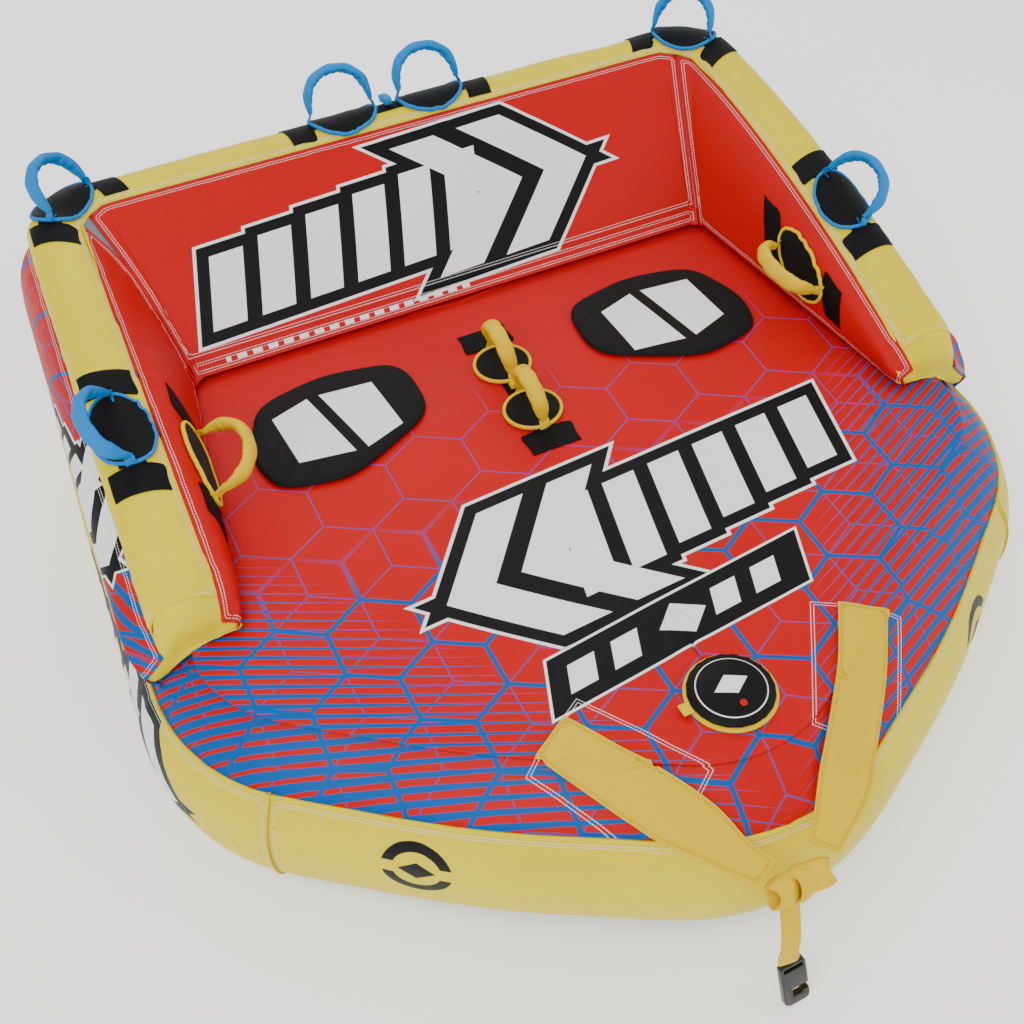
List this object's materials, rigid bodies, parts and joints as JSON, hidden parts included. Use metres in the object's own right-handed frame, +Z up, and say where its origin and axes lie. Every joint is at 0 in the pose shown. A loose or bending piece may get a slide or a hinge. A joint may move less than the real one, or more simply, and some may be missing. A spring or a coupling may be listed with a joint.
{
  "type": "towable tube",
  "caption": "Inflatable deck tube towed behind a boat: a sewn nylon cover over air bladders, a raised U-shaped backrest, soft handles, seat pads, a valve under a flap and a tow harness.",
  "frame": {"origin": "on the ground under the tube, at the middle of the base's overall width and length", "axes": "+X across the tube to a seated rider's left when looking forward, -Y towards the nose and the tow point, +Z up"},
  "size_m": [1.8222, 1.9552, 0.7571],
  "materials": {
    "cover_red": "satin",
    "cover_yellow": "satin",
    "cover_black": "matte",
    "webbing_black": "matte",
    "webbing_gold": "satin",
    "guard_black": "matte",
    "pad_foam": "matte",
    "grip_blue": "matte",
    "grip_yellow": "matte",
    "bladder_film": "gloss",
    "connector_plastic": "satin",
    "valve_plastic": "satin",
    "flap_foam": "matte",
    "tab_yellow": "matte",
    "zip_tape": "matte",
    "zip_metal": "satin"
  },
  "bodies": {
    "tube": {"bottom_panel": "cover_black", "deck_bladder": "bladder_film", "front_band": "cover_yellow", "side_band_right": "cover_yellow", "side_band_left": "cover_yellow", "back_band": "cover_yellow", "right_arm_panel": "cover_red", "backrest_panel": "cover_red", "left_arm_panel": "cover_red", "rim_panel": "cover_yellow", "right_outer_panel": "cover_red", "back_outer_panel": "cover_red", "left_outer_panel": "cover_red", "bolster_bladder": "bladder_film", "right_side_patches": "webbing_black", "right_side_guard": "guard_black", "right_corner_patches": "webbing_black", "right_corner_guard": "guard_black", "right_inner_patches": "webbing_black", "right_inner_guard": "guard_black", "left_side_patches": "webbing_black", "left_side_guard": "guard_black", "left_corner_patches": "webbing_black", "left_corner_guard": "guard_black", "left_inner_patches": "webbing_black", "left_inner_guard": "guard_black", "back_patches": "webbing_black", "back_right_guard": "guard_black", "back_left_guard": "guard_black", "back_sleeve": "grip_blue", "deck_patches": "webbing_black", "deck_front_guard": "guard_black", "deck_rear_guard": "guard_black", "deck_sleeve": "grip_yellow", "right_seat_pad": "pad_foam", "left_seat_pad": "pad_foam", "deck_panel": "cover_red", "valve_collar": "valve_plastic", "valve_ring": "cover_yellow", "right_tow_strap": "webbing_gold", "left_tow_strap": "webbing_gold", "tow_knot": "webbing_gold", "tow_lead": "webbing_gold", "tow_connector": "connector_plastic", "zip_tape": "zip_tape"},
    "right_side_grip": {"right_side_grip": "grip_blue"},
    "right_corner_grip": {"right_corner_grip": "grip_blue"},
    "right_inner_grip": {"right_inner_grip": "grip_yellow"},
    "left_side_grip": {"left_side_grip": "grip_blue"},
    "left_corner_grip": {"left_corner_grip": "grip_blue"},
    "left_inner_grip": {"left_inner_grip": "grip_yellow"},
    "back_right_grip": {"back_right_grip": "grip_blue"},
    "back_left_grip": {"back_left_grip": "grip_blue"},
    "deck_front_grip": {"deck_front_grip": "grip_yellow"},
    "deck_rear_grip": {"deck_rear_grip": "grip_yellow"},
    "valve_flap": {"valve_flap": "flap_foam", "valve_tab": "tab_yellow"},
    "valve_cap": {"valve_cap": "valve_plastic"},
    "zip_slider": {"zip_slider": "zip_metal"}
  },
  "joints": [
    {"name": "right_side_grip_swing", "type": "hinge", "parent": "tube", "child": "right_side_grip", "pos_m": [0.7641, 0.20466, 0.60777], "axis": [-0.0297, 0.9669, 0.2535], "range_deg": [-106, 14], "stiffness_Nm_per_rad": 0.15},
    {"name": "right_corner_grip_swing", "type": "hinge", "parent": "tube", "child": "right_corner_grip", "pos_m": [0.69447, 0.77735, 0.68496], "axis": [-0.6904, 0.7196, -0.0743], "range_deg": [-94, 26], "stiffness_Nm_per_rad": 0.15},
    {"name": "right_inner_grip_swing", "type": "hinge", "parent": "tube", "child": "right_inner_grip", "pos_m": [0.62989, 0.1531, 0.49799], "axis": [-0.0859, 0.9857, 0.1448], "range_deg": [-68, 52], "stiffness_Nm_per_rad": 0.15},
    {"name": "left_side_grip_swing", "type": "hinge", "parent": "tube", "child": "left_side_grip", "pos_m": [-0.7641, 0.20466, 0.60777], "axis": [-0.0297, -0.9669, -0.2535], "range_deg": [-106, 14], "stiffness_Nm_per_rad": 0.15},
    {"name": "left_corner_grip_swing", "type": "hinge", "parent": "tube", "child": "left_corner_grip", "pos_m": [-0.69447, 0.77735, 0.68496], "axis": [-0.6904, -0.7196, 0.0743], "range_deg": [-94, 26], "stiffness_Nm_per_rad": 0.15},
    {"name": "left_inner_grip_swing", "type": "hinge", "parent": "tube", "child": "left_inner_grip", "pos_m": [-0.62989, 0.1531, 0.49799], "axis": [-0.0859, -0.9857, -0.1448], "range_deg": [-68, 52], "stiffness_Nm_per_rad": 0.15},
    {"name": "back_right_grip_swing", "type": "hinge", "parent": "tube", "child": "back_right_grip", "pos_m": [0.1, 0.833, 0.67855], "axis": [-1, 0.0005, 0], "range_deg": [-74, 46], "stiffness_Nm_per_rad": 0.15},
    {"name": "back_left_grip_swing", "type": "hinge", "parent": "tube", "child": "back_left_grip", "pos_m": [-0.1, 0.833, 0.67855], "axis": [-1, -0.0005, 0], "range_deg": [-74, 46], "stiffness_Nm_per_rad": 0.15},
    {"name": "deck_front_grip_swing", "type": "hinge", "parent": "tube", "child": "deck_front_grip", "pos_m": [0, 0.102, 0.42], "axis": [0, 1, 0], "range_deg": [-50, 70], "stiffness_Nm_per_rad": 0.15},
    {"name": "deck_rear_grip_swing", "type": "hinge", "parent": "tube", "child": "deck_rear_grip", "pos_m": [0, 0.244, 0.42], "axis": [0, 1, 0], "range_deg": [-50, 70], "stiffness_Nm_per_rad": 0.15},
    {"name": "valve_flap_lift", "type": "hinge", "parent": "tube", "child": "valve_flap", "pos_m": [0.075, -0.64837, 0.43567], "axis": [0, 0.9973, -0.0738], "range_deg": [0, 120], "stiffness_Nm_per_rad": 0.02},
    {"name": "valve_cap_turn", "type": "hinge", "parent": "tube", "child": "valve_cap", "pos_m": [0, -0.649, 0.42709], "axis": [0, 0.0738, 0.9973], "continuous": true},
    {"name": "zip_slider_run", "type": "slide", "parent": "tube", "child": "zip_slider", "axis": [-1, 0, 0], "range_m": [0, 0.85]}
  ]
}
